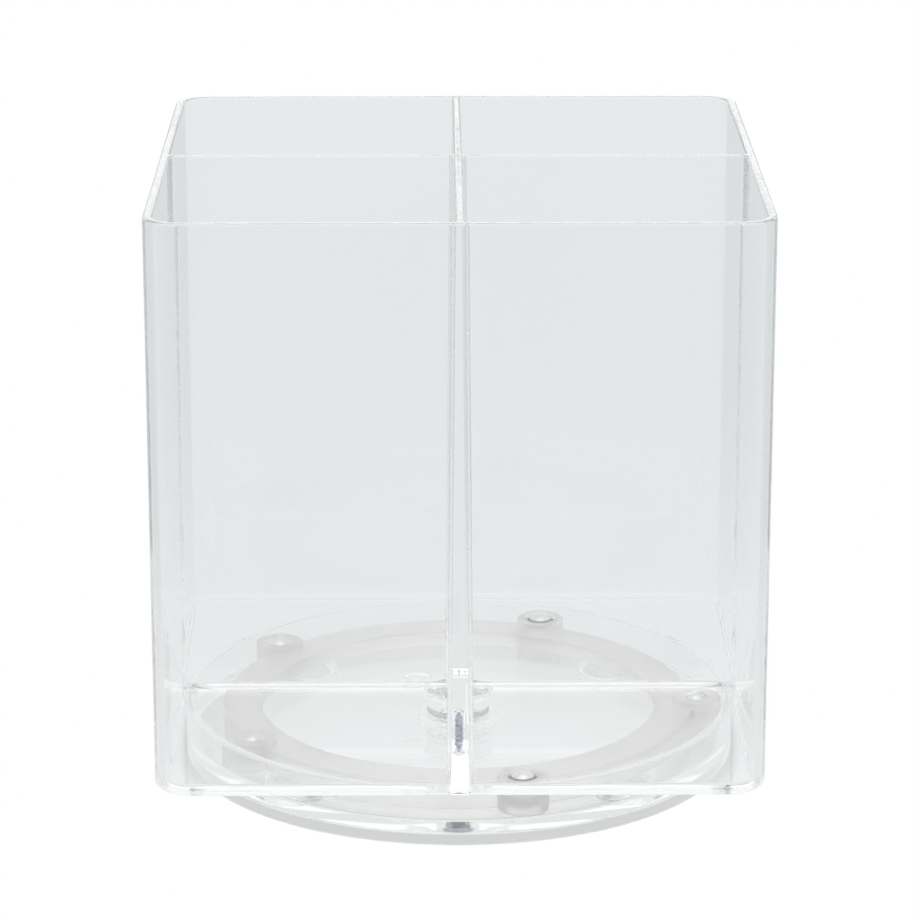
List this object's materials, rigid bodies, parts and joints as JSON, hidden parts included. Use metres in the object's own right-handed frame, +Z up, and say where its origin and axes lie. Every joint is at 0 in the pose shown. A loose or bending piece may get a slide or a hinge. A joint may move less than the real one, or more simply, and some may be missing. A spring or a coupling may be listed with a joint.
{
  "type": "rotating tool storage caddy",
  "caption": "Clear square upright box with crossing dividers that turns on a clear round base through a ball bearing, for small hand tools and brushes.",
  "frame": {"origin": "on the surface it stands on, under the pivot axis, at the centre of the base", "axes": "+Z up along the pivot axis; the box's front faces -Y and +X is to the right seen from the front"},
  "size_m": [0.152, 0.152, 0.1604],
  "materials": {
    "clear_plastic_box": "crystal clear, polished",
    "clear_plastic_base": "crystal clear, polished",
    "retainer_plastic": "natural translucent, satin",
    "bush_nylon": "natural nylon, satin",
    "ball_steel": "polished",
    "screw_steel": "bright zinc plated",
    "pad_rubber": "clear, matte"
  },
  "bodies": {
    "base": {"base_dish": "clear_plastic_base", "rubber_pad_1": "pad_rubber", "rubber_pad_2": "pad_rubber", "rubber_pad_3": "pad_rubber", "rubber_pad_4": "pad_rubber"},
    "caddy": {"caddy_box": "clear_plastic_box", "pivot_screw": "screw_steel", "screw_washer": "screw_steel", "pivot_bush": "bush_nylon"},
    "retainer": {"ball_retainer": "retainer_plastic"},
    "ball_a": {"ball_1": "ball_steel"},
    "ball_b": {"ball_2": "ball_steel"},
    "ball_c": {"ball_3": "ball_steel"},
    "ball_d": {"ball_4": "ball_steel"},
    "ball_e": {"ball_5": "ball_steel"}
  },
  "joints": [
    {"name": "caddy_spin", "type": "hinge", "parent": "base", "child": "caddy", "pos_m": [0, 0, 0.0148], "axis": [0, 0, 1], "continuous": true},
    {"name": "retainer_roll", "type": "hinge", "parent": "base", "child": "retainer", "pos_m": [0, 0, 0.009], "axis": [0, 0, 1], "continuous": true},
    {"name": "ball_a_roll", "type": "hinge", "parent": "retainer", "child": "ball_a", "pos_m": [0.06308, -0.00397, 0.01043], "axis": [0.998, -0.0628, 0], "continuous": true},
    {"name": "ball_b_roll", "type": "hinge", "parent": "retainer", "child": "ball_b", "pos_m": [0.02327, 0.05876, 0.01043], "axis": [0.3681, 0.9298, 0], "continuous": true},
    {"name": "ball_c_roll", "type": "hinge", "parent": "retainer", "child": "ball_c", "pos_m": [-0.0487, 0.04029, 0.01043], "axis": [-0.7705, 0.6374, 0], "continuous": true},
    {"name": "ball_d_roll", "type": "hinge", "parent": "retainer", "child": "ball_d", "pos_m": [-0.05336, -0.03386, 0.01043], "axis": [-0.8443, -0.5358, 0], "continuous": true},
    {"name": "ball_e_roll", "type": "hinge", "parent": "retainer", "child": "ball_e", "pos_m": [0.01572, -0.06121, 0.01043], "axis": [0.2487, -0.9686, 0], "continuous": true}
  ],
  "couplings": [
    {"joint": "retainer_roll", "follows": "caddy_spin", "ratio": 0.5},
    {"joint": "ball_a_roll", "follows": "caddy_spin", "ratio": -7.6699},
    {"joint": "ball_b_roll", "follows": "caddy_spin", "ratio": -7.6699},
    {"joint": "ball_c_roll", "follows": "caddy_spin", "ratio": -7.6699},
    {"joint": "ball_d_roll", "follows": "caddy_spin", "ratio": -7.6699},
    {"joint": "ball_e_roll", "follows": "caddy_spin", "ratio": -7.6699}
  ]
}
